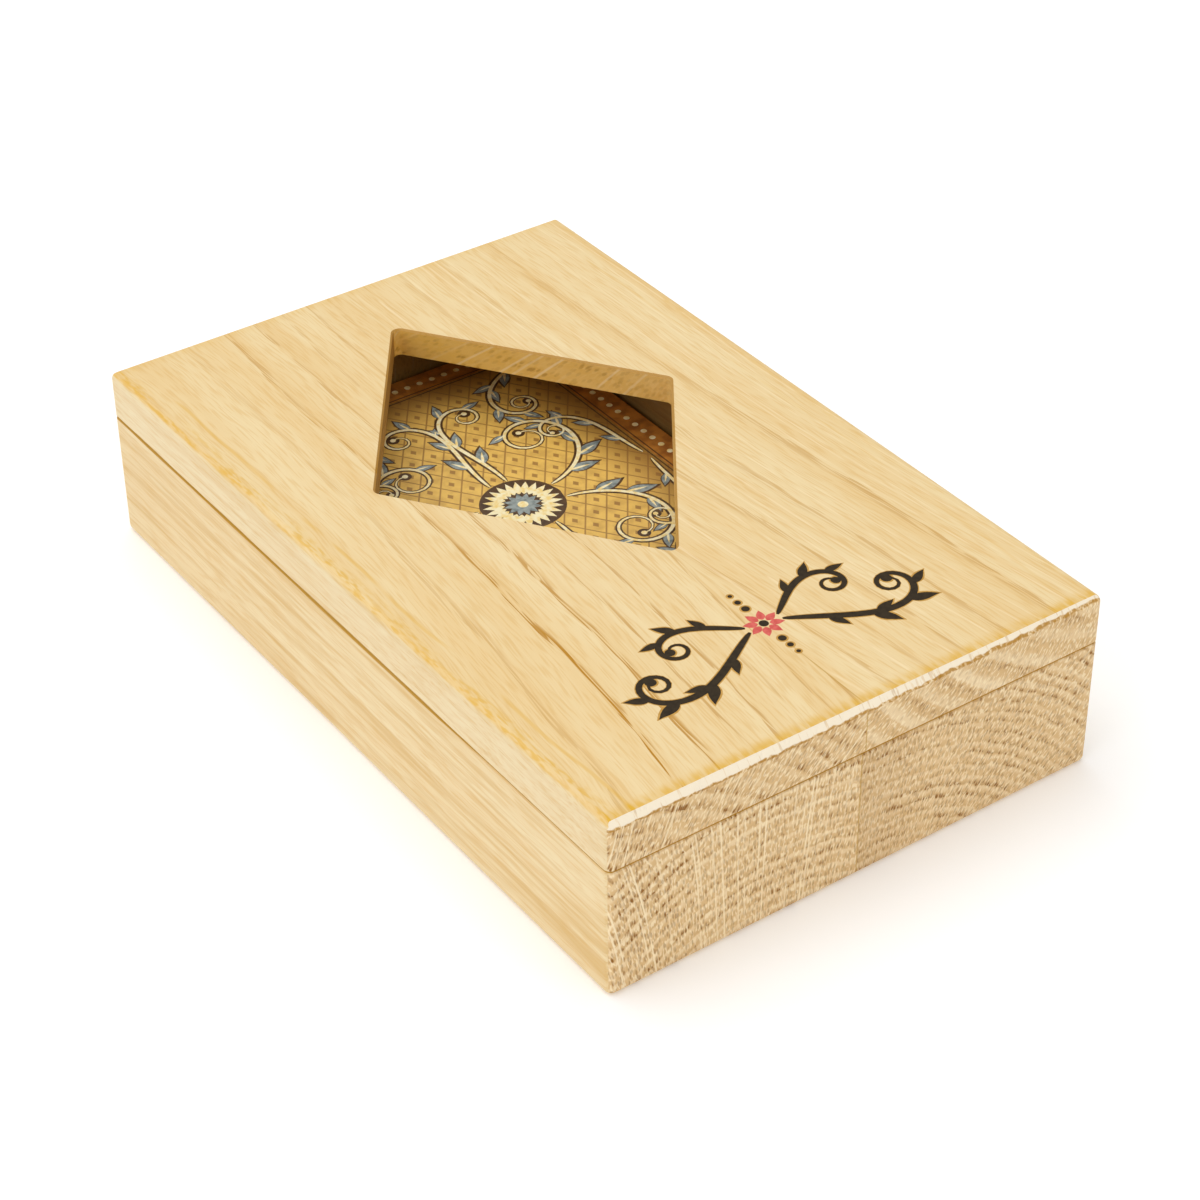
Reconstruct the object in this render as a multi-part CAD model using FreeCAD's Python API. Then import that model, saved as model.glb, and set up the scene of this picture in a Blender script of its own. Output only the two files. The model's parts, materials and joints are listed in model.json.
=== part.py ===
import FreeCAD, Part
import os

# Playing card case in oak. The base is a thick block with a pocket milled into it for a deck of
# cards. The lid has the same outline, lies on the base and shows the deck through a diamond window.
# Base and lid are each two staves glued edge to edge, and disc magnets at the corners hold them shut.
# Millimetres, +Z up, origin at the middle of the underside, the solid end of the case towards -Y.

# Cards
card_width = 63.0
card_length = 88.0
card_thickness = 0.29
card_corner_radius = 3.2
suits = ("clubs", "diamonds", "hearts", "spades")
ranks = ("six", "seven", "eight", "nine", "ten", "jack", "queen", "king", "ace")

# Base: the pocket, the room round the deck and the wood that is left round the pocket
deck_clearance = 1.0
pocket_depth = 16.0
floor_thickness = 7.0
side_wall = 12.5
back_wall = 10.5
front_block = 42.5
finger_scoop_radius = 12.0

# Lid: the web that is left over the pocket, and the window, set in from the deck's edges
lid_web = 5.0
lid_recess_depth = 3.5
window_side_margin = 2.8
window_end_margin = 3.5
window_offset_x = 0.6
window_offset_y = -0.9
window_corner_radius = 1.2

# Edges: rounded outside, the lid's ends bevelled across the grain, and all bevelled at the seam and at
# the mouth of the window
edge_round = 1.2
end_bevel = 1.0
seam_bevel = 0.3
window_bevel = 0.3

# Glue joints between the staves, measured from the case's middle
base_joint_x = -0.6
lid_joint_x = 0.0

# Magnets, each set back in its seat below the seam
magnet_diameter = 6.0
magnet_thickness = 3.0
magnet_side_clearance = 0.1
magnet_set_back = 0.2

# How far a cutter runs past the face that it breaks through
cutter_overrun = 1.0

# Sizes that follow
pocket_width = card_width + 2 * deck_clearance
pocket_length = card_length + 2 * deck_clearance
pocket_corner_radius = card_corner_radius + deck_clearance
case_width = pocket_width + 2 * side_wall
case_length = front_block + pocket_length + back_wall
seam_z = floor_thickness + pocket_depth
top_z = seam_z + lid_recess_depth + lid_web
pocket_y = case_length / 2 - back_wall - pocket_length / 2
magnet_x = (case_width - side_wall) / 2
magnet_y = (case_length - back_wall) / 2
same_height = 1e-6


def at(x, y, z):
    return FreeCAD.Vector(x, y, z)


def is_upright(edge):
    return abs(edge.tangentAt(edge.FirstParameter).z) > 0.99


def lies_at(edge, z):
    return all(abs(vertex.Z - z) < same_height for vertex in edge.Vertexes)


def rounded_plate(width, length, radius, low_z, high_z):
    """An upright prism with rounded corners, centred on the pocket."""
    corner = at(-width / 2, pocket_y - length / 2, low_z)
    plate = Part.makeBox(width, length, high_z - low_z, corner)
    return plate.makeFillet(radius, [edge for edge in plate.Edges if is_upright(edge)])


def case_half(low_z, high_z, outside_z):
    """One half of the case: its corners and outside edges rounded, its edges at the seam bevelled."""
    corner = at(-case_width / 2, -case_length / 2, low_z)
    block = Part.makeBox(case_width, case_length, high_z - low_z, corner)
    outer_edges = [edge for edge in block.Edges if is_upright(edge) or lies_at(edge, outside_z)]
    block = block.makeFillet(edge_round, outer_edges)
    return block.makeChamfer(seam_bevel, [edge for edge in block.Edges if lies_at(edge, seam_z)])


def magnet_places():
    """The middle of each magnet in plan, by the name of its corner."""
    return {
        "front_left": (-magnet_x, -magnet_y),
        "front_right": (magnet_x, -magnet_y),
        "back_left": (-magnet_x, magnet_y),
        "back_right": (magnet_x, magnet_y),
    }


def discs(radius, low_z, high_z):
    """A disc at each magnet's place."""
    return {
        name: Part.makeCylinder(radius, high_z - low_z, at(x, y, low_z))
        for name, (x, y) in magnet_places().items()
    }


def cut_all(solid, cutters):
    for cutter in cutters:
        solid = solid.cut(cutter)
    return solid


def staves(half, joint_x):
    """The two boards that a half is glued from, cut apart at the joint."""
    box = half.BoundBox
    depth = box.YLength + 2 * cutter_overrun
    height = box.ZLength + 2 * cutter_overrun
    low_corner = at(box.XMin - cutter_overrun, box.YMin - cutter_overrun, box.ZMin - cutter_overrun)
    left_side = Part.makeBox(joint_x - low_corner.x, depth, height, low_corner)
    return half.common(left_side).Solids[0], half.cut(left_side).Solids[0]


def end_bevel_cutters():
    """A wedge along the top edge of each end of the lid, for the flat that is planed across the grain."""
    front_y = -case_length / 2
    profile = [
        at(-case_width, front_y - cutter_overrun, top_z - end_bevel - cutter_overrun),
        at(-case_width, front_y + end_bevel + cutter_overrun, top_z + cutter_overrun),
        at(-case_width, front_y - cutter_overrun, top_z + cutter_overrun),
    ]
    wedge = Part.Face(Part.makePolygon([*profile, profile[0]])).extrude(at(2 * case_width, 0, 0))
    return [wedge, wedge.mirror(at(0, 0, 0), at(0, 1, 0))]


def make_base():
    base = case_half(0, seam_z, 0)
    mouth_z = seam_z + cutter_overrun
    pocket = rounded_plate(pocket_width, pocket_length, pocket_corner_radius, floor_thickness, mouth_z)
    scoop_place = at(0, pocket_y - pocket_length / 2, floor_thickness)
    scoop = Part.makeCylinder(finger_scoop_radius, mouth_z - floor_thickness, scoop_place)
    seat_radius = magnet_diameter / 2 + magnet_side_clearance
    seats = discs(seat_radius, seam_z - magnet_set_back - magnet_thickness, mouth_z)
    return cut_all(base, [pocket, scoop, *seats.values()])


def window_prism(low_z, high_z):
    """The diamond that is cut through the lid, with its corners rounded."""
    half_width = card_width / 2 - window_side_margin
    half_length = card_length / 2 - window_end_margin
    middle = at(window_offset_x, pocket_y + window_offset_y, low_z)
    corners = [
        middle + at(half_width, 0, 0),
        middle + at(0, half_length, 0),
        middle - at(half_width, 0, 0),
        middle - at(0, half_length, 0),
    ]
    outline = Part.makePolygon([*corners, corners[0]])
    prism = Part.Face(outline).extrude(at(0, 0, high_z - low_z))
    return prism.makeFillet(window_corner_radius, [edge for edge in prism.Edges if is_upright(edge)])


def make_lid():
    lid = case_half(seam_z, top_z, top_z)
    recess_z = seam_z + lid_recess_depth
    mouth_z = seam_z - cutter_overrun
    recess = rounded_plate(pocket_width, pocket_length, pocket_corner_radius, mouth_z, recess_z)
    window = window_prism(mouth_z, top_z + cutter_overrun)
    seat_radius = magnet_diameter / 2 + magnet_side_clearance
    seats = discs(seat_radius, mouth_z, seam_z + magnet_set_back + magnet_thickness)
    lid = cut_all(lid, [*end_bevel_cutters(), recess, window, *seats.values()])
    window_box = window.BoundBox
    window_mouth = [
        edge for edge in lid.Edges if lies_at(edge, top_z) and window_box.isInside(edge.BoundBox)
    ]
    return lid.makeChamfer(window_bevel, window_mouth)


def make_magnets():
    radius = magnet_diameter / 2
    in_base = discs(radius, seam_z - magnet_set_back - magnet_thickness, seam_z - magnet_set_back)
    in_lid = discs(radius, seam_z + magnet_set_back, seam_z + magnet_set_back + magnet_thickness)
    magnets = {f"base_magnet_{corner}": disc for corner, disc in in_base.items()}
    magnets.update({f"lid_magnet_{corner}": disc for corner, disc in in_lid.items()})
    return magnets


def make_deck():
    """The cards, face down, stacked from the pocket's floor."""
    cards = {}
    low_z = floor_thickness
    for suit in suits:
        for rank in ranks:
            high_z = low_z + card_thickness
            card = rounded_plate(card_width, card_length, card_corner_radius, low_z, high_z)
            cards[f"{rank}_of_{suit}"] = card
            low_z = high_z
    return cards


pieces = {}
pieces["base_left_stave"], pieces["base_right_stave"] = staves(make_base(), base_joint_x)
pieces["lid_left_stave"], pieces["lid_right_stave"] = staves(make_lid(), lid_joint_x)
pieces.update(make_magnets())
pieces.update(make_deck())

os.makedirs("parts", exist_ok=True)
for name, piece in pieces.items():
    piece.exportStep(f"parts/{name}.step")
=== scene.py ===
import json
from dataclasses import dataclass
from math import cos, hypot, pi, radians, sin

import bmesh
import bpy
from mathutils import Matrix, Vector


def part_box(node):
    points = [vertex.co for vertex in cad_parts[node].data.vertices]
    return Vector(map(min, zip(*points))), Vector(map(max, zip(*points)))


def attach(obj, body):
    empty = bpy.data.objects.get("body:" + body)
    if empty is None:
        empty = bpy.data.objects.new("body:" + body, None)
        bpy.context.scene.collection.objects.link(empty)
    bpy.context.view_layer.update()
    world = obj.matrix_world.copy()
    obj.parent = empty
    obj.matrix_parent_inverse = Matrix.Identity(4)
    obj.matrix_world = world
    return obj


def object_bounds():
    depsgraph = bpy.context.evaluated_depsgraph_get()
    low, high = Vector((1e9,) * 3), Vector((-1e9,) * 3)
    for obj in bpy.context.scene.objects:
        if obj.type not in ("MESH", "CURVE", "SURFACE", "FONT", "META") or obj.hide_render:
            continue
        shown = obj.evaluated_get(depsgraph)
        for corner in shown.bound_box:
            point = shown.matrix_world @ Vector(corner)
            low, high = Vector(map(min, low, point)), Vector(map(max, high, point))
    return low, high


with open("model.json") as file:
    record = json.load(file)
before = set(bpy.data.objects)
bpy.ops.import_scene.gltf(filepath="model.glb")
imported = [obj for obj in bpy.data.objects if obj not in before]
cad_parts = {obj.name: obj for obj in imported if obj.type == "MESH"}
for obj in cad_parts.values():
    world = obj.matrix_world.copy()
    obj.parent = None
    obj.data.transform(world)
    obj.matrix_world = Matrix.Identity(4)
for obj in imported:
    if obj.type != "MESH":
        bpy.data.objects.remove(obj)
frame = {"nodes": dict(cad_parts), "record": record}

cad_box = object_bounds()
nodes = frame["nodes"]


# Base: two oak boards glued edge to edge, milled out for the deck and oiled to a satin finish.
# Each board's wood is one solid pattern of rings, pores and rays round its own pith, so the end
# grain, the long sides and the walls of the pocket all belong to the same trunk.
millimetre = 0.001


class Wire:
    """A socket of a material, so that shader maths reads as Python: operators add Math nodes."""

    def __init__(self, tree, socket=None):
        self.tree = tree
        self.socket = socket

    def node(self, kind, settings=(), sockets=(), output=0):
        """Adds a node, with its settings set first and then its sockets, and returns one output."""
        node = self.tree.nodes.new(kind)
        for name, value in dict(settings).items():
            setattr(node, name, value)
        for key, value in dict(sockets).items():
            if isinstance(value, Wire):
                self.tree.links.new(value.socket, node.inputs[key])
            else:
                node.inputs[key].default_value = value
        return Wire(self.tree, node.outputs[output])

    def math(self, operation, *values):
        return self.node("ShaderNodeMath", {"operation": operation}, enumerate(values))

    def __add__(self, other):
        return self.math("ADD", self, other)

    def __sub__(self, other):
        return self.math("SUBTRACT", self, other)

    def __rsub__(self, other):
        return self.math("SUBTRACT", other, self)

    def __mul__(self, other):
        return self.math("MULTIPLY", self, other)

    def __truediv__(self, other):
        return self.math("DIVIDE", self, other)

    def __pow__(self, other):
        return self.math("POWER", self, other)

    def __abs__(self):
        return self.math("ABSOLUTE", self)

    __radd__ = __add__
    __rmul__ = __mul__

    def step(self, low, high):
        """A smooth step from 0 at low to 1 at high. It falls where low is above high."""
        settings = {"interpolation_type": "SMOOTHSTEP"}
        return self.node("ShaderNodeMapRange", settings, {0: self, 1: low, 2: high})

    def fraction(self):
        return self.math("FRACT", self)

    def split(self):
        """The three parts of a vector or of a colour."""
        return [self.node("ShaderNodeSeparateXYZ", (), {0: self}, part) for part in range(3)]

    def scaled(self, second, third, sizes):
        """A place over this wire and two more, in which a feature of those three sizes is 1 across."""
        parts = [part / size for part, size in zip((self, second, third), sizes)]
        return self.node("ShaderNodeCombineXYZ", (), enumerate(parts))

    def cloud(self, second, third, sizes, detail=0, output=0):
        """Smooth noise about 0.5 over three wires, with features of those sizes."""
        sockets = {"Vector": self.scaled(second, third, sizes), "Scale": 1, "Detail": detail}
        return self.node("ShaderNodeTexNoise", (), sockets, output)

    def cells(self, second, third, sizes):
        """The distance to the nearest of many scattered points, over three wires."""
        sockets = {"Vector": self.scaled(second, third, sizes), "Scale": 1}
        return self.node("ShaderNodeTexVoronoi", (), sockets)

    def scatter(self):
        """Three random values from 0 to 1 for each whole number."""
        settings = {"noise_dimensions": "1D"}
        return self.node("ShaderNodeTexWhiteNoise", settings, {"W": self}, 1).split()

    def tint(self, under, over):
        """The colour under where this mask is 0 and the colour over where it is 1."""
        settings = {"data_type": "RGBA"}
        return self.node("ShaderNodeMix", settings, {0: self, 6: under, 7: over}, 2)


def paint(red, green, blue):
    """A colour for a socket, from display values of 0 to 255."""
    display = [value / 255 for value in (red, green, blue)]
    linear = [((c + 0.055) / 1.055) ** 2.4 if c > 0.04045 else c / 12.92 for c in display]
    return (*linear, 1.0)


def surface(name):
    """A new material, its shader, its place in millimetres and the way it faces."""
    material = bpy.data.materials.new(name)
    material.use_nodes = True
    start = Wire(material.node_tree)
    place = start.node("ShaderNodeTexCoord", output="Object")
    facing = start.node("ShaderNodeTexCoord", output="Normal")
    to_millimetres = {0: place, "Scale": 1 / millimetre}
    place = start.node("ShaderNodeVectorMath", {"operation": "SCALE"}, to_millimetres)
    shader = material.node_tree.nodes["Principled BSDF"]
    return material, shader, place.split(), facing.split()


def feed(shader, name, wire):
    wire.tree.links.new(wire.socket, shader.inputs[name])


def bumps(height, depth):
    """A normal for a surface whose height runs from 0 to 1 over that depth in millimetres."""
    return height.node("ShaderNodeBump", (), {"Distance": depth * millimetre, "Height": height})


def dress(names, material):
    """Gives CAD nodes their material."""
    for name in names:
        mesh = nodes[name].data
        mesh.materials.clear()
        mesh.materials.append(material)


case_half = cad_box[1] / millimetre
seam_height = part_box("base_left_stave")[1].z / millimetre
lid_recess = 3.5
oak_pale = paint(239, 215, 165)
oak_deep = paint(233, 200, 141)
oak_side = paint(234, 217, 180)
oak_vein = paint(217, 169, 84)
oak_stripe = paint(216, 178, 112)
oak_pore = paint(184, 128, 16)
# The milled walls' deeper golden colour: partly the oak's own, partly painted warm light bounced about
# inside.
oak_inside_warm_bounce = paint(236, 184, 70)
# Painted shadow for the pocket and recess walls below the lid's web.
painted_pocket_shadow = paint(92, 58, 20)
oak_end = paint(223, 186, 131)
oak_end_dark = paint(146, 97, 32)
oak_end_pale = paint(254, 233, 192)
seam_brown = paint(188, 138, 4)


@dataclass
class Board:
    """How one oak board grew, in millimetres, and how strongly its features show, from 0 to 1."""

    pith: tuple            # the trunk's middle, across and up
    lean: float            # how far the grain runs aside for each millimetre towards the front
    ring_width: float
    first_year: float      # the part of a year that the count of rings starts with
    strong_year: int       # the year whose pores show most, fading over the next few
    deep: float            # patches of deeper colour on the long grain
    vein: float            # early wood and its pores on the long grain
    stripe: float          # broad soft stripes on the long grain
    side_pale: float       # paler long sides
    ray: float             # rays on the end grain
    ray_pitch: float       # the mean step from ray to ray
    late: float            # pale late wood on the end grain
    pit: float             # open pores on the end grain
    pit_size: tuple        # the size of one, round the pith and out from it
    row_dark: float = 0.4  # early wood on the end grain
    flake: float = 0.1     # rays on the long grain
    dusk: float = 0.0      # a darker end next to the glue joint
    beyond: float = 0.0    # how far past the pith the rays meet


# Sizes of the wood's features round the pith, along the board and out from the pith
sway_size = (45, 120, 45)
wander_size = (7, 18, 7)
wobble_size = (5, 24, 5)
strand_size = (0.28, 9, 0.28)
fibre_size = (0.28, 4.5, 0.28)
stripe_size = (1.1, 45, 1.1)
patch_size = (4, 60, 4)
ray_step_size = (9, 40, 20)
ray_run_size = (1, 8, 9)
ragged_size = (0.6, 14, 0.8)
row_gap_size = (11, 40, 3)
glint_size = (0.3, 14, 0.9)
pit_length = 14
gape_size = (9, 14, 9)

# How far those features move the grain and the rings, and how thick a ray is
sway_across = 5
sway_up = 4
wander_reach = 1.6
wobble_reach = 1.4
ragged_reach = 0.55
straight_length = 60
dusk_reach = 16
ray_unevenness = 0.8
ray_to_ray = 7.3
ray_edge = 0.2
ray_core = 0.06

# Lines where the wood was joined, and where the outside ends and the milled inside starts
glue_edge = 0.16
glue_core = 0.04
seam_shut = 0.05
seam_gape = 0.33
seam_edge = 0.12
seam_core = 0.04
outside_rim = 0.8
inside_rim = 1.4

# Satin oil, duller in the pores and on the end grain, over pores that stand open
oak_roughness = 0.48
pore_roughness = 0.2
end_roughness = 0.12
oak_gloss = 0.3
grain_depth = 0.05


def trunk(place, board, reach):
    """How far a point lies out from the pith and round it, and round it with the wander of the fibres."""
    x, y, z = place
    sway = x.cloud(y, z, sway_size, output=1).split()
    drift = board.lean * y.math("SMOOTH_MIN", y, 0, straight_length)
    across = x - board.pith[0] - drift + (sway[0] - 0.5) * sway_across
    rise = z - board.pith[1] + (sway[1] - 0.5) * sway_up
    out = (across * across + rise * rise) ** 0.5
    around = across.math("ARCTAN2", across, rise + board.beyond) * (reach + board.beyond)
    grain = around + (x.cloud(y, z, wander_size) - 0.5) * wander_reach
    return out, around, grain


def rings(y, out, around, grain, board):
    """The age in years, three random values for each year, its early wood and its row of wide pores."""
    wobble = around.cloud(y, out, wobble_size, detail=2) - 0.5
    age = (out + wobble * wobble_reach) / board.ring_width + board.first_year
    season = age.fraction()
    year = age - season
    later = year - board.strong_year
    strong = later.step(-0.6, -0.4) * (1 - 0.35 * later)
    luck = year.scatter()
    vigour = y.math("MAXIMUM", 0.3 + 0.35 * luck[0], strong)
    early = season.step(0.5, 0.0) * vigour
    strands = grain.cloud(y, out, strand_size).step(0.44, 0.54)
    pores = season.step(0.2, 0.07) * strands * vigour.step(0.1, 0.85)
    return age, luck, early, pores


def rays(y, out, around, pitch):
    """Thin sheets that run out from the pith, at uneven steps and with breaks."""
    count = around / pitch + (around.cloud(y, out, ray_step_size) - 0.5) * ray_unevenness
    part = count.fraction()
    whole = count - part
    chance = whole.scatter()
    off_ray = abs(part - 0.2 - 0.6 * chance[0]) * pitch
    run = (whole * ray_to_ray).cloud(y, out, ray_run_size).step(0.36, 0.5)
    shown = chance[1].step(0.2, 0.5) * run * (0.5 + 0.5 * chance[2])
    return off_ray.step(ray_edge, ray_core) * shown


def long_grain(y, out, grain, side, fibres, early, pores, sheets, board):
    """The colour along the grain: patches, stripes, fine fibres, and rows of pores that fade to the back."""
    patches = grain.cloud(y, out, patch_size, detail=2).step(0.3, 0.72)
    stripes = grain.cloud(y, out, stripe_size, detail=2).step(0.4, 0.72)
    fade = 0.5 + 0.5 * y.step(25, -35)
    colour = (patches * board.deep).tint(oak_pale, oak_deep)
    colour = (side * board.side_pale).tint(colour, oak_side)
    colour = (early * board.vein * 0.25).tint(colour, oak_vein)
    colour = (stripes * (board.stripe + 0.25 * side)).tint(colour, oak_stripe)
    colour = (fibres.step(0.45, 0.75) * (0.32 - 0.04 * side)).tint(colour, oak_vein)
    colour = (pores * board.vein * fade * (0.95 - 0.75 * side)).tint(colour, oak_pore)
    return (sheets * board.flake * (1 - side)).tint(colour, oak_end_pale)


def end_grain(x, y, out, around, age, luck, sheets, joint, board):
    """The colour across the grain, and its open pores, which are closest in each year's early wood."""
    jitter = (around.cloud(y, out, ragged_size) - 0.5) * ragged_reach / board.ring_width
    season = (age + jitter).fraction()
    gaps = around.cloud(y, out, row_gap_size).step(0.3, 0.6)
    row = season.step(0.5, 0.06) * season.step(0.0, 0.08) * (0.3 + 0.7 * luck[1]) * gaps
    late = season.step(0.4, 0.75) * season.step(1.0, 0.88) * board.late * (0.4 + 0.6 * luck[2])
    pit_round, pit_out = board.pit_size
    pits = around.cells(y, out, (pit_round, pit_length, pit_out)).step(0.52, 0.24)
    pits = pits * (0.38 + row) * board.pit * (1 + 0.35 * x.step(-26, -40))
    glints = around.cloud(y, out, glint_size).step(0.52, 0.68)
    colour = (row * board.row_dark).tint(oak_end, oak_end_dark)
    colour = late.tint(colour, oak_end_pale)
    colour = (glints * 0.7).tint(colour, oak_end_pale)
    colour = pits.tint(colour, oak_end_dark)
    colour = (abs(x - joint).step(dusk_reach, 0) * board.dusk).tint(colour, oak_end_dark)
    return (sheets * board.ray).tint(colour, oak_end_pale), pits


def milled_walls(colour, place, facing, inside, pits, sheets):
    """Walls of the pocket and of the window: a deeper golden colour, partly the oak's own and partly painted
    warm bounced light, less so to the right; painted shade on walls that face right, and darkest, with a
    painted shadow, below the web.
    """
    x, y, z = place
    walls = inside * abs(facing[2]).step(0.75, 0.6)
    below = (z - seam_height).step(lid_recess, lid_recess - 0.2)
    # Partly painted light: this golden tint also stands for warm light bounced about inside the pocket and
    # window.
    colour = (walls * (0.8 - 0.2 * x.step(5, 30))).tint(colour, oak_inside_warm_bounce)
    colour = (walls * pits * 0.6).tint(colour, oak_end_dark)
    colour = (walls * sheets * 0.45).tint(colour, oak_end_pale)
    # Painted shade: walls that face right are darkened, as if the light came only from the left.
    colour = (walls * facing[0].step(0.3, 0.7) * 0.75).tint(colour, oak_end_dark)
    # Painted shadow: the walls below the lid's web are darkened where the web shades them.
    return (walls * below * 0.8).tint(colour, painted_pocket_shadow)


def glue_and_seam(colour, place, facing, inside, joint):
    """The glue joint, plainest near the front, and the seam, widest along the back of the left side."""
    x, y, z = place
    glue = abs(x - joint).step(glue_edge, glue_core) * (0.12 + 0.5 * y.step(-50, -60))
    along_side = (abs(facing[0]) - abs(facing[1])).step(0.0, 0.3)
    gape = x.step(5, -5) * y.step(-45, -20) * (0.7 + 0.3 * x.cloud(y, z, gape_size).step(0.3, 0.55))
    seam_width = seam_shut + seam_gape * along_side * gape
    seam = (abs(z - seam_height) - seam_width).step(seam_edge, seam_core) * (1 - inside)
    upright = abs(facing[2]).step(0.9, 0.8)
    colour = glue.tint(colour, seam_brown)
    return (seam * upright * 0.85).tint(colour, seam_brown)


def oak(name, node, board, finish=None):
    """The oak of one board, with a finish laid over its colour."""
    material, shader, place, facing = surface(name)
    x, y, z = place
    low, high = [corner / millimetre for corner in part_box(node)]
    middle = (low + high) / 2
    reach = hypot(middle.x - board.pith[0], middle.z - board.pith[1])
    joint = min(low.x, high.x, key=abs)
    out, around, grain = trunk(place, board, reach)
    age, luck, early, pores = rings(y, out, around, grain, board)
    sheets = rays(y, out, around, board.ray_pitch)
    fibres = grain.cloud(y, out, fibre_size)
    side = abs(facing[0]).step(0.6, 0.9)
    end = abs(facing[1]).step(0.5, 0.66)
    along = long_grain(y, out, grain, side, fibres, early, pores, sheets, board)
    across, pits = end_grain(x, y, out, around, age, luck, sheets, joint, board)
    inside = abs(x).step(case_half.x - outside_rim, case_half.x - inside_rim)
    inside = inside * abs(y).step(case_half.y - outside_rim, case_half.y - inside_rim)
    colour = end.tint(along, across)
    colour = milled_walls(colour, place, facing, inside, pits, sheets)
    colour = glue_and_seam(colour, place, facing, inside, joint)
    if finish:
        colour = finish(colour, place, facing)
    feed(shader, "Base Color", colour)
    feed(shader, "Roughness", oak_roughness + pore_roughness * pores + end_roughness * end)
    shader.inputs["Specular IOR Level"].default_value = oak_gloss
    height = 1 - pores * 0.2 - pits * end * 0.55 + fibres * 0.25
    feed(shader, "Normal", bumps(height, grain_depth))
    return material


base_boards = {
    "base_left_stave": Board(
        pith=(-14, -33), lean=0.01, ring_width=2.0, first_year=0.0, strong_year=27,
        deep=1.0, vein=0.4, stripe=0.5, side_pale=0.35,
        ray=0.9, ray_pitch=1.25, late=0.5, pit=1.0, pit_size=(0.46, 1.3), beyond=70,
    ),
    "base_right_stave": Board(
        pith=(-2, -38), lean=-0.01, ring_width=1.8, first_year=0.3, strong_year=38,
        deep=1.0, vein=0.4, stripe=0.5, side_pale=0.35,
        ray=0.15, ray_pitch=1.3, late=0.4, pit=1.0, pit_size=(0.5, 1.2), dusk=0.16,
    ),
}
for stave, board in base_boards.items():
    dress([stave], oak(f"oak_{stave}", stave, board))


# Magnets: nickel plated discs, one pair at each corner, glued into seats a little short of the seam.
# The plating is bright, with fine turned rings and a few dull patches from handling.
corners = ("front_left", "front_right", "back_left", "back_right")
magnet_names = [f"{half}_magnet_{corner}" for half in ("base", "lid") for corner in corners]
nickel = (0.74, 0.72, 0.67, 1.0)
nickel_dull = (0.58, 0.56, 0.51, 1.0)
dull_patch_size = (1.8, 1.8, 1.8)
turning_size = (0.35, 0.5, 0.5)
turning_depth = 0.006


def plating(name, node):
    material, shader, (x, y, z), facing = surface(name)
    low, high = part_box(node)
    middle = (low + high) / 2 / millimetre
    out = ((x - middle.x) ** 2 + (y - middle.y) ** 2) ** 0.5
    patches = x.cloud(y, z, dull_patch_size, detail=2).step(0.4, 0.75)
    turning = out.cloud(z, z, turning_size)
    feed(shader, "Base Color", patches.tint(nickel, nickel_dull))
    feed(shader, "Roughness", 0.16 + 0.16 * patches)
    shader.inputs["Metallic"].default_value = 1.0
    feed(shader, "Normal", bumps(turning, turning_depth))
    return material


for magnet in magnet_names:
    dress([magnet], plating(f"nickel_{magnet}", magnet))


# Deck: 36 coated cards, stacked face down in the pocket, with clean cut edges.
# The edges show the stack as fine lines, and the top card has a printed back.
card_names = [subpart["node"] for subpart in frame["record"]["subparts"] if "_of_" in subpart["node"]]
card_names.sort(key=lambda name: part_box(name)[0].z)
top_card = card_names[-1]
card_low, card_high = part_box(top_card)
card_middle = (card_low + card_high) / 2 / millimetre
card_half = (card_high - card_low) / 2 / millimetre
card_paper = paint(236, 230, 214)
card_cut = paint(196, 186, 166)
card_roughness = 0.42
speck_size = (0.5, 0.5, 0.05)
back_border = paint(200, 132, 54)
back_border_dark = paint(156, 94, 36)
back_field = paint(240, 196, 98)
back_field_dark = paint(158, 112, 50)
back_lattice = paint(150, 106, 52)
back_rule = paint(84, 58, 30)
border_width = 5.3
border_blur = 0.05
rule_offset = 0.45
lattice_pitch = 4.2
mottle_size = (2.5, 2.5, 2.5)


def stock(name):
    """Card stock, and the wires that a print on it needs."""
    material, shader, place, facing = surface(name)
    x, y, z = place
    specks = x.cloud(y, z, speck_size, detail=1)
    edge = abs(facing[2]).step(0.6, 0.4)
    colour = (specks.step(0.4, 0.7) * edge * 0.7).tint(card_paper, card_cut)
    shader.inputs["Roughness"].default_value = card_roughness
    return material, shader, place, facing, colour


def printed_back(name):
    """A lattice with a small diamond in each mesh, darker outwards, up to a border edged by two rules."""
    material, shader, (x, y, z), facing, paper = stock(name)
    x = x - card_middle.x
    y = y - card_middle.y
    inset = x.math("MINIMUM", card_half.x - abs(x), card_half.y - abs(y))
    slope = card_half.x / card_half.y
    up_lines = abs(((x + y * slope) / lattice_pitch).fraction() - 0.5)
    down_lines = abs(((x - y * slope) / lattice_pitch).fraction() - 0.5)
    from_middle = x.math("MAXIMUM", up_lines, down_lines)
    lattice = x.math("MAXIMUM", from_middle.step(0.44, 0.48), from_middle.step(0.16, 0.11))
    mottle = x.cloud(y, z, mottle_size, detail=3).step(0.35, 0.7)
    shade = x.math("MAXIMUM", mottle * 0.35, inset.step(17, 5) * 0.9)
    field = (lattice * 0.8).tint(shade.tint(back_field, back_field_dark), back_lattice)
    border = mottle.tint(back_border, back_border_dark)
    in_border = inset.step(border_width + border_blur, border_width - border_blur)
    rules = abs(abs(inset - border_width) - rule_offset).step(0.16, 0.1)
    print_colour = rules.tint(in_border.tint(field, border), back_rule)
    feed(shader, "Base Color", facing[2].step(0.5, 0.7).tint(paper, print_colour))
    return material


material, shader, place, facing, colour = stock("card_stock")
feed(shader, "Base Color", colour)
dress(card_names[:-1], material)
dress([top_card], printed_back("card_back"))


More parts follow.
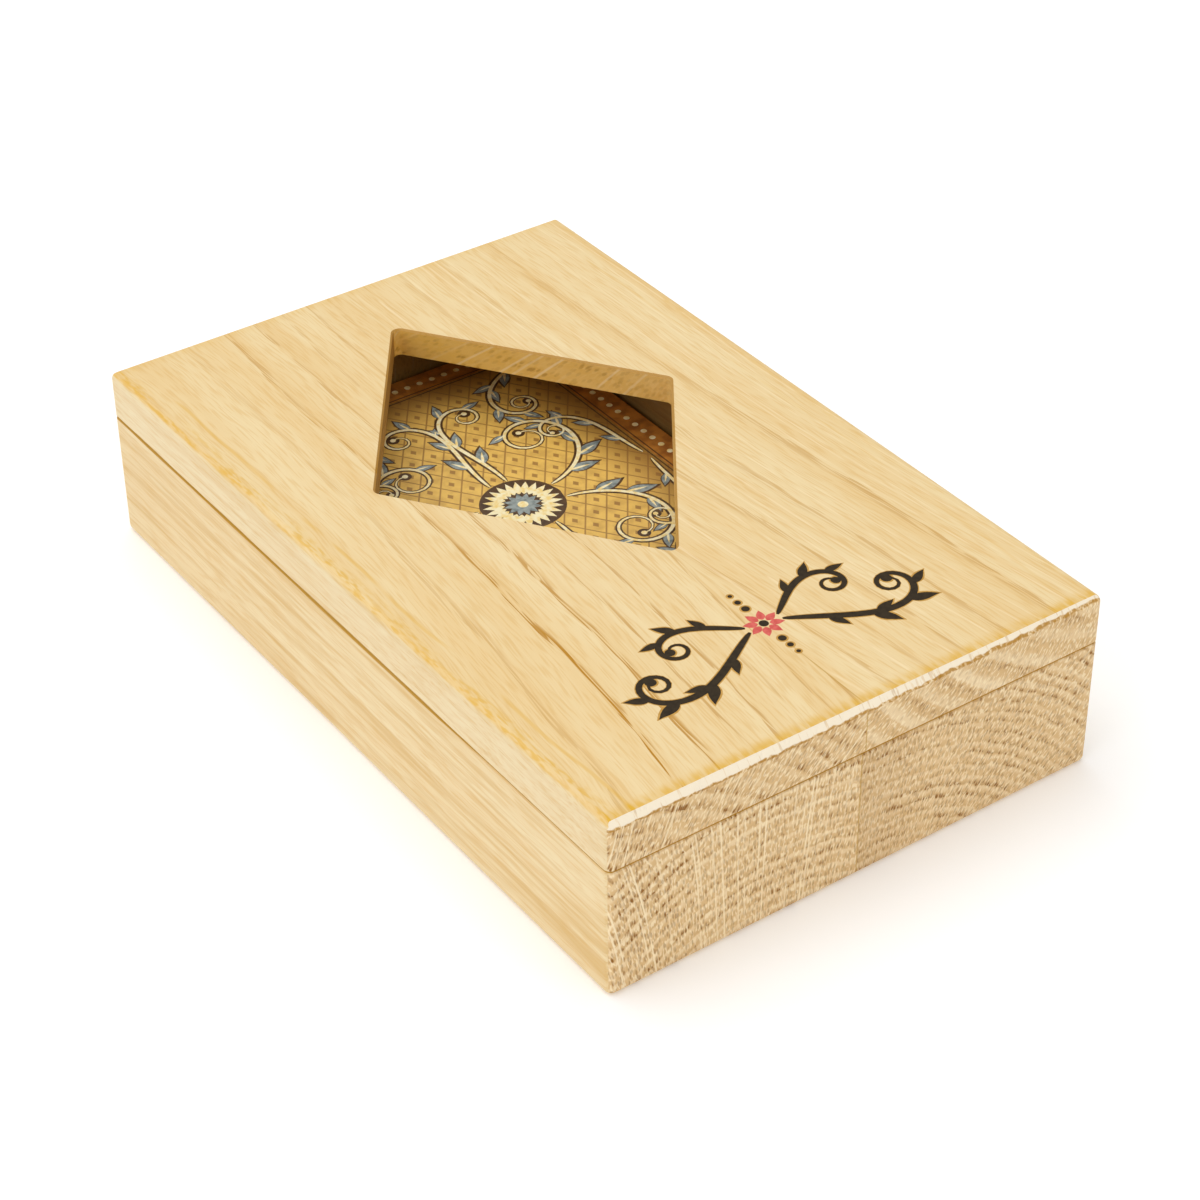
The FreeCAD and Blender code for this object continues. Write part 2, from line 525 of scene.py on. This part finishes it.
# Print on the top card's back: outlined gold scrolls with blue-grey leaves round a rosette, and a border
# of beads. It is the same both ways up, as on most card backs.
# Each ink is a thin coat on the stock, the gold laid last.
ink_height = 0.02
trace = 0.0005
traces = 11
finest_share = 0.04
leaf_angle = 0.7
leaf_bend = 0.14
bead_share = 0.7
ink_patch_size = (0.9, 0.9, 0.9)
one_way = ((1, 1),)
four_ways = ((1, 1), (-1, 1), (1, -1), (-1, -1))


def vine(start, heading, length, bend_in=0.0, bend_out=0.0, hold=1.0, steps=48):
    """Points and headings along a stroke.

    Its bend is in radians per millimetre, and changes later for a larger hold.
    """
    step = length / steps
    points = [Vector(start)]
    headings = [heading]
    for k in range(steps):
        bend = bend_in + (bend_out - bend_in) * ((k + 0.5) / steps) ** hold
        heading += bend * step
        points.append(points[-1] + Vector((cos(heading), sin(heading))) * step)
        headings.append(heading)
    return points, headings


def stem_width(t):
    return 0.3 + 0.7 * sin(pi * t ** 0.6) ** 0.8


def leaf_width(t):
    return sin(pi * t ** 0.75)


def disc_width(t):
    return (1 - (2 * t - 1) ** 2) ** 0.5


class Print:
    """Flat strokes in one ink round a middle point, as closed shapes a hair thick on a surface."""

    def __init__(self, name, middle, surface_height, lift, copies):
        self.name = name
        self.middle = middle
        self.low = surface_height - ink_height / 4
        self.high = surface_height + lift
        self.copies = copies
        self.mesh = bmesh.new()
        self.count = 0

    def corner(self, point, flips, level):
        """A corner of a stroke, flipped about the middle point."""
        x = self.middle[0] + flips[0] * point.x
        y = self.middle[1] + flips[1] * point.y
        return self.mesh.verts.new(Vector((x, y, level)) * millimetre)

    def stroke(self, points, headings, width, shape, copies=None):
        """One stroke and its copies, each a trace higher than the last so that no two lie in one plane."""
        last = len(points) - 1
        for flips in copies or self.copies:
            self.count += 1
            high = self.high + trace * (self.count % traces)
            rows = []
            for k, (point, heading) in enumerate(zip(points, headings)):
                half_width = width * max(shape(k / last), finest_share) / 2
                half = Vector((-sin(heading), cos(heading))) * half_width
                right, left = point - half, point + half
                row = ((right, self.low), (left, self.low), (left, high), (right, high))
                rows.append([self.corner(place, flips, level) for place, level in row])
            self.mesh.faces.new(rows[0])
            self.mesh.faces.new(rows[-1])
            for one, other in zip(rows, rows[1:]):
                for k in range(4):
                    self.mesh.faces.new((one[k], one[k - 1], other[k - 1], other[k]))

    def leaf(self, start, heading, length, width, bend=0.0):
        self.stroke(*vine(start, heading, length, bend, -bend, steps=12), width, leaf_width)

    def pearl(self, centre, radius, copies=None):
        start = Vector(centre) - Vector((radius, 0))
        self.stroke(*vine(start, 0.0, 2 * radius, steps=24), 2 * radius, disc_width, copies)

    def rosette(self, petals, turns, inner, length, width):
        """Petals spread over a part of a turn, given by its first and last angle."""
        for k in range(petals):
            turn = turns[0] + (turns[1] - turns[0]) * (k + 0.5) / petals
            self.leaf(Vector((cos(turn), sin(turn))) * inner, turn, length, width)

    def finish(self, body, slot, material):
        bmesh.ops.recalc_face_normals(self.mesh, faces=self.mesh.faces)
        data = bpy.data.meshes.new(self.name)
        self.mesh.to_mesh(data)
        self.mesh.free()
        data.materials.append(material)
        piece = bpy.data.objects.new(self.name, data)
        bpy.context.scene.collection.objects.link(piece)
        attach(piece, body)


def twig(stems, leaf_prints, width, leaves, **course):
    """A stem with a bead at its end, and leaves given by their share of its length, side and size."""
    points, headings = vine(**course)
    last = len(points) - 1
    for share, side, size in leaves:
        at = round(share * last)
        heading = headings[at] + side * leaf_angle
        for printed, length, breadth in leaf_prints:
            printed.leaf(points[at], heading, size * length, size * breadth, -side * leaf_bend)
    for printed, thickness in stems:
        printed.stroke(points, headings, width * thickness, stem_width)
        printed.pearl(points[-1], width * thickness * bead_share)


def ink(name, light, dark, roughness, gloss=0.5):
    """A printed ink, a little uneven where it took to the surface."""
    material, shader, (x, y, z), facing = surface(name)
    uneven = x.cloud(y, z, ink_patch_size, detail=3).step(0.35, 0.7)
    feed(shader, "Base Color", uneven.tint(light, dark))
    shader.inputs["Roughness"].default_value = roughness
    shader.inputs["Specular IOR Level"].default_value = gloss
    return material


back_sheet = dict(
    middle=(card_middle.x, card_middle.y), surface_height=card_high.z / millimetre, copies=four_ways,
)
back_dark = Print("card_back_outlines", lift=0.5 * ink_height, **back_sheet)
back_leaves = Print("card_back_leaves", lift=0.85 * ink_height, **back_sheet)
back_gold = Print("card_back_gold", lift=1.2 * ink_height, **back_sheet)
back_stems = ((back_dark, 1.0), (back_gold, 0.45))
back_leaf = ((back_dark, 1.12, 0.5), (back_leaves, 1.0, 0.4), (back_gold, 0.7, 0.1))
back_twigs = (
    dict(
        start=(7.2, 2.2), heading=0.15, length=48, bend_in=0.06, bend_out=0.46, hold=2.0, width=1.6,
        leaves=(
            (0.1, -1, 5.5), (0.2, -1, 5.5), (0.3, 1, 4.5),
            (0.42, -1, 4.5), (0.55, -1, 4.0), (0.66, -1, 3.5),
        ),
    ),
    dict(
        start=(1.6, 7.2), heading=1.5, length=40, bend_in=0.03, bend_out=-0.75, hold=2.4, width=1.6,
        leaves=((0.16, -1, 5.0), (0.34, -1, 4.4), (0.46, 1, 2.4), (0.58, 1, 4.0), (0.7, 1, 3.4)),
    ),
    dict(
        start=(24.6, 37.4), heading=-2.85, length=38, bend_in=0.02, bend_out=0.75, hold=1.9, width=1.5,
        leaves=((0.12, 1, 4.5), (0.26, -1, 4.0), (0.3, 1, 4.0), (0.46, -1, 4.2), (0.58, -1, 3.6)),
    ),
    dict(
        start=(25.0, 1.2), heading=1.75, length=36, bend_in=-0.02, bend_out=0.9, hold=2.2, width=1.4,
        leaves=((0.14, 1, 3.6), (0.34, 1, 3.6), (0.5, -1, 3.2), (0.62, -1, 3.0)),
    ),
)
for course in back_twigs:
    twig(back_stems, back_leaf, **course)
quarter_turn = (0, pi / 2)
back_dark.pearl((0, 0), 7.2, one_way)
back_gold.rosette(6, quarter_turn, 3.0, 3.6, 1.3)
back_leaves.rosette(3, quarter_turn, 0.6, 2.6, 1.2)
back_gold.pearl((0, 0), 0.9, one_way)
bead_radius = 0.55
bead_line = Vector((card_half.x - border_width / 2, card_half.y - border_width / 2))
beads_along = 17
beads_across = 11
for k in range(beads_along):
    back_gold.pearl((bead_line.x, bead_line.y * (k + 0.5) / (beads_along - 0.5)), bead_radius)
for k in range(beads_across):
    back_gold.pearl((bead_line.x * (k + 0.5) / (beads_across + 0.5), bead_line.y), bead_radius)
back_inks = (
    (back_dark, "back_dark_ink", paint(90, 62, 32), paint(66, 44, 22)),
    (back_leaves, "back_leaf_ink", paint(158, 168, 164), paint(112, 122, 120)),
    (back_gold, "back_gold_ink", paint(255, 244, 200), paint(248, 216, 132)),
)
for printed, name, light, dark in back_inks:
    printed.finish("deck", "card_stock", ink(name, light, dark, roughness=0.4))


# Lid: two more oak boards glued edge to edge, milled out below and cut through by the window.
# Its ends have a flat bevel, sanded pale across the end grain and brightened further by a painted highlight.
bevel_pale_highlight = paint(252, 238, 212)
oil_ochre = paint(224, 174, 52)
oil_brown = paint(178, 124, 20)
lid_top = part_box("lid_left_stave")[1].z / millimetre
spot_size = (0.6, 0.9, 0.6)
tongue_size = (0.9, 4, 0.9)
band_size = (0.8, 12, 2)
band_spot_size = (0.5, 2.5, 0.5)
waver_size = (16, 60, 1)
thin_break_size = (11, 90, 1)
rough_size = (1.6, 1.6, 4)
nick_size = (0.35, 3, 3)
thin_inset = 4.4


def oil_on_top(colour, place, facing, from_end, from_side):
    """Short tongues of oil behind the bevels, and a soft band with a thin line along the left."""
    x, y, z = place
    level = facing[2].step(0.9, 0.98)
    tongues = 0.35 + 0.65 * x.cloud(y, z, tongue_size, detail=2).step(0.36, 0.64)
    tongues = from_end.step(3.6, 1.2) * level * tongues * (0.25 + 0.75 * y.step(0, -20))
    band = from_side.step(3.4, 1.4) * facing[2].step(0.5, 0.75)
    band = band * x.cloud(y, z, band_size).step(0.3, 0.62)
    band = band * (0.4 + 0.9 * x.cloud(y, z, band_spot_size, detail=1).step(0.42, 0.62))
    waver = y.cloud(y, 0.5, waver_size) - 0.5
    thin = abs(from_side - thin_inset - 2 * waver).step(0.5, 0.1) * level
    thin = thin * y.cloud(y, 3.5, thin_break_size).step(0.4, 0.6)
    left = 0.3 + 0.7 * x.step(20, -20)
    return (tongues * 0.8 + (band * 0.55 + thin * 0.45) * left).tint(colour, oil_ochre)


def end_bevels(colour, place, facing, from_end):
    """Bevels, pale where the sander broke the edge and brightened further by a painted highlight, narrower
    and rougher to the right, with oil below.
    """
    x, y, z = place
    depth = lid_top - z
    at_end = abs(facing[1]).step(0.5, 0.65) * from_end.step(2.0, 1.4)
    rough = x.cloud(y, z, rough_size, detail=3)
    bright_depth = 0.98 - 0.45 * x.step(-10, 40) - 0.7 * (rough - 0.45)
    bright = (depth - bright_depth).step(0.06, -0.08)
    nicks = x.cloud(y, z, nick_size).step(0.62, 0.7)
    spots = x.cloud(y, z, spot_size, detail=1).step(0.38, 0.52)
    stain = abs(depth - bright_depth - 0.2).step(0.3, 0.1) * spots
    colour = (at_end * stain * 0.8).tint(colour, oil_brown)
    # The bright band is partly pale sanded end grain and partly a painted highlight.
    return (at_end * bright * (1 - 0.45 * nicks)).tint(colour, bevel_pale_highlight)


def lid_edges(colour, place, facing):
    """The lid's finish: oil on the top, bright bevels with a painted highlight, and a window whose mouth is a
    little darker, partly from oil and partly painted shade.
    """
    from_end = case_half.y - abs(place[1])
    from_side = case_half.x - abs(place[0])
    colour = oil_on_top(colour, place, facing, from_end, from_side)
    colour = end_bevels(colour, place, facing, from_end)
    slanted = facing[2].step(0.5, 0.65) * facing[2].step(0.85, 0.75)
    # The window's mouth bevels are darkened: partly oil, partly painted shade.
    mouth = slanted * from_side.step(1.6, 2.0) * from_end.step(1.6, 2.0)
    return (mouth * 0.8).tint(colour, oil_brown)


lid_boards = {
    "lid_left_stave": Board(
        pith=(-58, -44), lean=0.12, ring_width=2.9, first_year=0.66, strong_year=29,
        deep=0.8, vein=1.0, stripe=0.1, side_pale=0.6,
        ray=0.85, ray_pitch=1.5, late=0.3, pit=1.0, pit_size=(0.46, 1.5),
    ),
    "lid_right_stave": Board(
        pith=(55, 85), lean=-0.1, ring_width=4.6, first_year=0.2, strong_year=13,
        deep=0.8, vein=0.45, stripe=0.08, side_pale=0.6,
        ray=0.25, ray_pitch=1.7, late=0.6, pit=0.6, pit_size=(0.5, 1.3), row_dark=0.2, flake=0.4,
    ),
}
for stave, board in lid_boards.items():
    dress([stave], oak(f"oak_{stave}", stave, board, finish=lid_edges))


# Print on the lid: a dark flourish with a small red rosette, in front of the window.
# It is burnt into the wood, so that a narrow scorched rim shows round each stroke, and then inked.
two_ways = ((1, 1), (-1, 1))
lid_sheet = dict(middle=(0.0, -47.5), surface_height=lid_top, copies=two_ways)
scorch = Print("lid_scorch", lift=0.4 * ink_height, **lid_sheet)
flourish = Print("lid_flourish", lift=ink_height, **lid_sheet)
rosette = Print("lid_rosette", lift=0.8 * ink_height, **lid_sheet)
scorch_rim = 0.28
flourish_stems = ((scorch, 1.3), (flourish, 1.0))
flourish_leaf = ((scorch, 1.25, 0.58), (flourish, 1.15, 0.44))
flourish_twigs = (
    dict(
        start=(3.0, -0.6), heading=-0.5, length=40, bend_in=-0.012, bend_out=0.8, hold=2.3, width=1.3,
        leaves=((0.16, -1, 3.4), (0.34, -1, 4.2), (0.36, 1, 3.4), (0.5, -1, 4.2), (0.6, -1, 3.4)),
    ),
    dict(
        start=(3.0, 0.6), heading=0.62, length=27, bend_in=0.02, bend_out=-0.85, hold=1.7, width=1.15,
        leaves=((0.2, 1, 3.0), (0.38, 1, 3.4), (0.52, 1, 3.0)),
    ),
)
for course in flourish_twigs:
    twig(flourish_stems, flourish_leaf, **course)
first_bead = 4.4
bead_step = 1.9
for rank, radius in enumerate((0.65, 0.5, 0.35)):
    for way in (-1, 1):
        bead = (0, way * (first_bead + bead_step * rank))
        scorch.pearl(bead, radius + scorch_rim, one_way)
        flourish.pearl(bead, radius, one_way)
half_turn = (-pi / 2, pi / 2)
rosette.rosette(4, half_turn, 0.9, 2.3, 1.35)
flourish.pearl((0, 0), 0.75, one_way)
lid_inks = (
    (scorch, "scorch_ink", paint(206, 160, 84), paint(186, 138, 58)),
    (flourish, "flourish_ink", paint(54, 42, 22), paint(42, 31, 14)),
    (rosette, "rosette_ink", paint(222, 106, 96), paint(204, 84, 76)),
)
for printed, name, light, dark in lid_inks:
    printed.finish("lid", "lid_oak", ink(name, light, dark, roughness=0.6, gloss=0.2))


# Studio: a pale floor and soft white light from all round, strongest on the left side and the top.
# The floor glows a little, so that it comes out as white as the space behind the case.
white = (1.0, 1.0, 1.0, 1.0)
floor_radius = 4.0
floor_glow = 0.12
sky_strength = 0.5
bpy.ops.mesh.primitive_circle_add(vertices=96, radius=floor_radius, fill_type="NGON")
floor = bpy.context.object
floor.name = "floor"
floor_material, floor_shader, floor_place, floor_facing = surface("pale_floor")
floor_shader.inputs["Base Color"].default_value = paint(253, 253, 253)
floor_shader.inputs["Roughness"].default_value = 0.8
floor_shader.inputs["Emission Color"].default_value = white
floor_shader.inputs["Emission Strength"].default_value = floor_glow
floor.data.materials.append(floor_material)

world = bpy.data.worlds.new("studio")
world.use_nodes = True
sky = world.node_tree.nodes["Background"]
sky.inputs["Color"].default_value = white
sky.inputs["Strength"].default_value = sky_strength
bpy.context.scene.world = world

object_middle = Vector((0, 0, 0.015))
lights = {
    "left_softbox": dict(place=(-0.9, -0.1, 0.6), size=0.9, power=2.7),
    "top_softbox": dict(place=(-0.1, 0.3, 1.2), size=1.2, power=8.0),
    "front_fill": dict(place=(0.3, -1.1, 0.7), size=0.9, power=2.1),
}
for name, light in lights.items():
    data = bpy.data.lights.new(name, "AREA")
    data.size = light["size"]
    data.energy = light["power"]
    lamp = bpy.data.objects.new(name, data)
    lamp.location = light["place"]
    lamp.rotation_euler = (object_middle - lamp.location).to_track_quat("-Z", "Y").to_euler()
    bpy.context.scene.collection.objects.link(lamp)


# Camera: the photograph's viewing angle, a long lens close above the front left corner.
# Its angles, distance and aim come from the edges of the case in the photograph.
azimuth = radians(-34.861)
elevation = radians(36.186)
roll = radians(-0.614)
camera_distance = 0.48187
camera_aim = Vector((0.00472, 0.00109, 0.00491))
camera_data = bpy.data.cameras.new("camera")
camera_data.lens = 88.64
camera_data.sensor_width = 36.0
camera_data.clip_start = 0.01
camera = bpy.data.objects.new("camera", camera_data)
turned = Matrix.Rotation(azimuth, 4, "Z") @ Matrix.Rotation(pi / 2 - elevation, 4, "X")
camera.matrix_world = (
    Matrix.Translation(camera_aim) @ turned @ Matrix.Rotation(roll, 4, "Z")
    @ Matrix.Translation((0, 0, camera_distance))
)
bpy.context.scene.collection.objects.link(camera)
bpy.context.scene.camera = camera
bpy.context.scene.view_settings.view_transform = "Standard"
